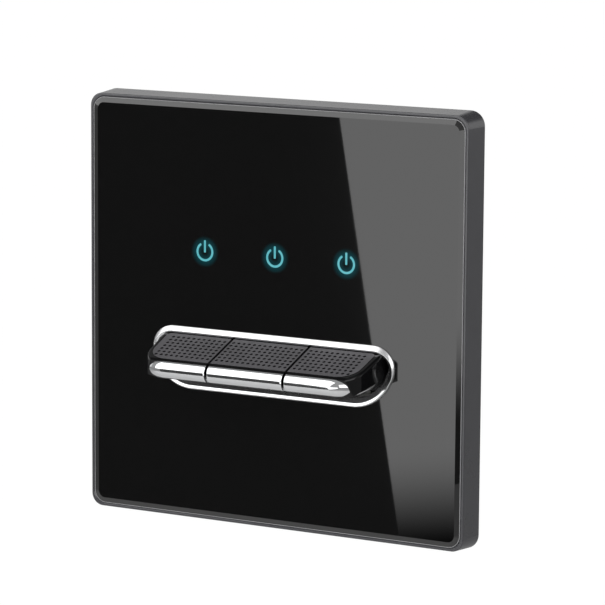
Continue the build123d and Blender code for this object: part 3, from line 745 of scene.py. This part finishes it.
def modelIcon(look):
    depth = (look["front"] + look["back"]) / 2
    thick = look["back"] - look["front"]
    strokeRadius = look["radius"] - look["stroke"] / 2
    centre = (look["shift"], 0, look["height"])
    startClean()
    bpy.ops.mesh.primitive_plane_add(size=1.0)      # the stroke's section, spun into the ring
    icon = bpy.context.object
    icon.name = "iconMark1"
    bpy.ops.object.mode_set(mode="EDIT")
    turnBy(90)
    scaleBy(1, thick * mm, look["stroke"] * mm)
    moveBy(look["shift"], depth, look["height"] + strokeRadius)
    turnBy(look["halfBreak"], centre)
    spinBy(look["ringSteps"], 360 - 2 * look["halfBreak"], centre, (0, 1, 0))
    bpy.ops.mesh.select_all(action="DESELECT")
    bpy.ops.mesh.primitive_cube_add(size=1.0)       # the stem
    scaleBy(look["stroke"] * mm, thick * mm, (look["stemHigh"] - look["stemLow"]) * mm)
    moveBy(look["shift"], depth, look["height"] + (look["stemLow"] + look["stemHigh"]) / 2)

    ringEnd = math.radians(look["halfBreak"])
    endAside = strokeRadius * math.sin(ringEnd)
    endHeight = look["height"] + strokeRadius * math.cos(ringEnd)
    stemEnds = (look["height"] + look["stemLow"], look["height"] + look["stemHigh"])

    def atEnd(start, end):
        if not runsBack(start, end):
            return False
        aside = abs(start.x - look["shift"])
        onRing = math.hypot(aside - endAside, start.z - endHeight) < look["endReach"]
        onSide = abs(aside - look["stroke"] / 2) < near
        onStem = onSide and min(abs(start.z - height) for height in stemEnds) < near
        return onRing or onStem

    roundEdges(icon, atEnd, look["endRound"], look["endSteps"])
    faceOutwards()
    finishPiece(icon, look["smoothUpTo"], "litIcon")
    return icon


iconFinish(iconLook)
firstMark = modelIcon(iconLook)
marks = [firstMark]
for side in (-1, 1):
    copiedMark = copyOf(firstMark, f"iconMark{len(marks) + 1}")
    bpy.ops.mesh.select_all(action="SELECT")
    moveBy(x=side * iconLook["pitch"])
    bpy.ops.object.mode_set(mode="OBJECT")
    marks.append(copiedMark)
for mark in marks:
    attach(mark, "base")
print("icons modelled")


# black glass: polished front, a bevel with painted sheen in a lighter grey, and a painted glow round the
# icons
glassLook = {
    "black": (0.0025, 0.0025, 0.0025),
    "bevelSheenGrey": (0.010, 0.010, 0.010),
    "bevelStart": -6.297,       # mm, depth at which the bevel begins
    "bevelBlend": 0.01,
    "refraction": 1.5,
    "shine": 1.0,
    "rough": (0.004, 0.02),
    "smear": 35,
    "smearDetail": 5.0,
    "smearStretch": (1, 1, 0.4),
    "glow": (0.0, 0.55, 0.68),
    "glowRing": 1.73,           # mm, where the glow is strongest
    "glowReach": 1.6,
    "glowStrength": 0.07,
    "rowEnd": (1.49, 1.5),      # icon pitches from the middle, where the glow stops
}


def iconGlow(tree, axes, look):
    # painted glow on the glass, by the distance to the nearest icon's ring, wrapped along the row of icons
    pitch = iconLook["pitch"] * mm
    wrapped = tree.nodes.new("ShaderNodeMath")
    wrapped.operation = "WRAP"
    wrapped.inputs[1].default_value = pitch / 2
    wrapped.inputs[2].default_value = -pitch / 2
    alongRow = computed(tree, "SUBTRACT", axes["X"], iconLook["shift"] * mm)
    tree.links.new(alongRow, wrapped.inputs[0])
    aside = wrapped.outputs["Value"]
    above = computed(tree, "SUBTRACT", axes["Z"], iconLook["height"] * mm)
    asideSquared = computed(tree, "MULTIPLY", aside, aside)
    aboveSquared = computed(tree, "MULTIPLY", above, above)
    radius = computed(tree, "SQRT", computed(tree, "ADD", asideSquared, aboveSquared))
    fromRing = computed(tree, "ABSOLUTE", computed(tree, "SUBTRACT", radius, look["glowRing"] * mm))
    glow = remapped(tree, fromRing, 0.0, look["glowReach"] * mm, look["glowStrength"], 0.0)
    fromMiddle = computed(tree, "ABSOLUTE", alongRow)
    inRow = remapped(tree, fromMiddle, look["rowEnd"][0] * pitch, look["rowEnd"][1] * pitch, 1.0, 0.0)
    return glow, inRow


def glassFinish(look):
    tree, shader = newFinish("blackGlass")
    shader.inputs["IOR"].default_value = look["refraction"]
    shader.inputs["Specular IOR Level"].default_value = look["shine"]
    axes = objectAxes(tree)
    frontEnd = look["bevelStart"] * mm
    bevelFrom = frontEnd + look["bevelBlend"] * mm
    # painted sheen: the bevel's colour is a lighter grey than the black front
    onBevel = remapped(tree, axes["Y"], frontEnd, bevelFrom, 0.0, 1.0)
    tint(tree, onBevel, look["black"], look["bevelSheenGrey"], shader.inputs["Base Color"], 0.0, 1.0)
    smears = noiseOver(tree, look["smear"], look["smearDetail"], look["smearStretch"])
    spread(tree, smears, *look["rough"], shader.inputs["Roughness"])
    # painted glow: the glass itself glows round each icon's ring
    glow, inRow = iconGlow(tree, axes, look)
    onFront = remapped(tree, axes["Y"], frontEnd, bevelFrom, 1.0, 0.0)
    glowHere = computed(tree, "MULTIPLY", glow, computed(tree, "MULTIPLY", inRow, onFront))
    shader.inputs["Emission Color"].default_value = (*look["glow"], 1)
    tree.links.new(glowHere, shader.inputs["Emission Strength"])


glassFinish(glassLook)
wear("glass_panel", "blackGlass")
print("glass finished")


# pale floor, nearly plain white to the camera apart from the object's shadow
floorLook = {
    "height": -0.36,            # m
    "size": 12.0,
    "dark": (0.90, 0.90, 0.90),
    "light": (0.93, 0.93, 0.93),
    "cloud": 3.0,
    "rough": (0.85, 0.95),
    "cameraShare": 0.93,        # how much of what the camera sees is plain white
    "whiteLift": 1.06,
}


def layFloor(look):
    startClean()
    bpy.ops.mesh.primitive_plane_add(size=look["size"], location=(0, 0, look["height"]))
    plane = bpy.context.object
    plane.name = "studioFloor"
    tree, shader = newFinish("paleFloor")
    tint(tree, noiseOver(tree, look["cloud"]), look["dark"], look["light"], shader.inputs["Base Color"])
    spread(tree, noiseOver(tree, look["cloud"]), *look["rough"], shader.inputs["Roughness"])
    white = tree.nodes.new("ShaderNodeEmission")
    white.inputs["Strength"].default_value = look["whiteLift"]
    ray = tree.nodes.new("ShaderNodeLightPath")
    share = computed(tree, "MULTIPLY", ray.outputs["Is Camera Ray"], look["cameraShare"])
    mixer = tree.nodes.new("ShaderNodeMixShader")
    tree.links.new(share, mixer.inputs["Fac"])
    tree.links.new(shader.outputs["BSDF"], mixer.inputs[1])
    tree.links.new(white.outputs["Emission"], mixer.inputs[2])
    tree.links.new(mixer.outputs["Shader"], tree.nodes["Material Output"].inputs["Surface"])
    plane.data.materials.append(bpy.data.materials["paleFloor"])
    return plane


floor = layFloor(floorLook)

# room: white to the camera, and to all else a dim front with a pale wall behind
roomLook = {
    "front": 0.40,              # what gloss sees in front of the switch
    "wall": 1.0,                # the pale wall behind it
    "roof": 0.10,               # above that wall
    "wallTop": (0.30, 0.44),    # how steep a direction has to be to pass over the wall
    "wallSide": (-0.05, 0.2),   # how far back it has to point to meet the wall
}


def setRoom(look):
    world = bpy.data.worlds.new("studioRoom")
    bpy.context.scene.world = world
    world.use_nodes = True
    tree = world.node_tree
    tree.nodes.clear()
    output = tree.nodes.new("ShaderNodeOutputWorld")
    direction = tree.nodes.new("ShaderNodeTexCoord")
    axes = tree.nodes.new("ShaderNodeSeparateXYZ")
    tree.links.new(direction.outputs["Generated"], axes.inputs["Vector"])
    behind = remapped(tree, axes.outputs["Z"], *look["wallTop"], look["wall"], look["roof"])
    strength = remapped(tree, axes.outputs["Y"], *look["wallSide"], look["front"], behind)
    room = tree.nodes.new("ShaderNodeBackground")
    backdrop = tree.nodes.new("ShaderNodeBackground")
    backdrop.inputs["Color"].default_value = (1, 1, 1, 1)
    ray = tree.nodes.new("ShaderNodeLightPath")
    choice = tree.nodes.new("ShaderNodeMixShader")
    tree.links.new(strength, room.inputs["Strength"])
    tree.links.new(ray.outputs["Is Camera Ray"], choice.inputs["Fac"])
    tree.links.new(room.outputs["Background"], choice.inputs[1])
    tree.links.new(backdrop.outputs["Background"], choice.inputs[2])
    tree.links.new(choice.outputs["Shader"], output.inputs["Surface"])


setRoom(roomLook)

# soft lamps, in metres
lampAim = (0, 0, -0.01)
lampPower = 4.0                 # watts per square metre at a radiance of 1
lampLooks = {
    "highBox": {"place": (-0.65, -0.72, 0.516), "size": (0.92, 1.38), "radiance": 1.2},
    "lowBox": {"place": (0.56, -0.50, 0.27), "size": (0.75, 0.5), "radiance": 1.3},
}


def addLamp(name, look):
    width, height = look["size"]
    bpy.ops.object.light_add(type="AREA", location=look["place"])
    lamp = bpy.context.object
    lamp.name = name
    lamp.data.shape = "RECTANGLE"
    lamp.data.size = width
    lamp.data.size_y = height
    lamp.data.energy = lampPower * look["radiance"] * width * height
    lamp.rotation_euler = (Vector(lampAim) - Vector(look["place"])).to_track_quat("-Z", "Y").to_euler()
    lamp.visible_camera = False


for name, look in lampLooks.items():
    addLamp(name, look)

# upright cards in front of the switch, seen only as reflections: a dark flag for the chrome,
# and a bright card for the grey field on the glass, which fades out towards its lower end
flagLook = {
    "x": (-0.46, -0.20),        # m
    "y": -0.60,
    "z": (-0.215, -0.015),
    "turn": 0,                  # degrees, in the card's own plane
    "grey": (0.085, 0.085, 0.085),
    "rough": 0.9,
}
cardLook = {
    "x": (-0.2816, 0.1684),
    "y": -0.577,
    "z": (-0.1821, 0.0279),
    "turn": -9.75,
    "glow": 1.47,
    "fade": (-0.395, -0.20),    # up the card, in parts of its height from the middle
}


def flagFinish(look):
    shader = newFinish("darkFlag")[1]
    shader.inputs["Base Color"].default_value = (*look["grey"], 1)
    shader.inputs["Roughness"].default_value = look["rough"]


def cardFinish(look):
    tree, shader = newFinish("frontCard")
    shader.inputs["Base Color"].default_value = (0, 0, 0, 1)
    shader.inputs["Specular IOR Level"].default_value = 0.0
    shader.inputs["Emission Color"].default_value = (1, 1, 1, 1)
    glow = remapped(tree, objectAxes(tree)["Y"], *look["fade"], 0.0, look["glow"])
    tree.links.new(glow, shader.inputs["Emission Strength"])


def addCard(name, look):
    startClean()
    left, right = look["x"]
    low, high = look["z"]
    middle = ((left + right) / 2, look["y"], (low + high) / 2)
    bpy.ops.mesh.primitive_plane_add(size=1.0, location=middle,
                                     rotation=(math.radians(90), math.radians(look["turn"]), 0))
    plane = bpy.context.object
    plane.name = name
    plane.scale = (right - left, high - low, 1)
    plane.visible_camera = False
    plane.visible_shadow = False
    plane.data.materials.append(bpy.data.materials[name])


flagFinish(flagLook)
addCard("darkFlag", flagLook)
cardFinish(cardLook)
addCard("frontCard", cardLook)
print("studio set")

view = bpy.context.scene.view_settings
view.view_transform = "Standard"
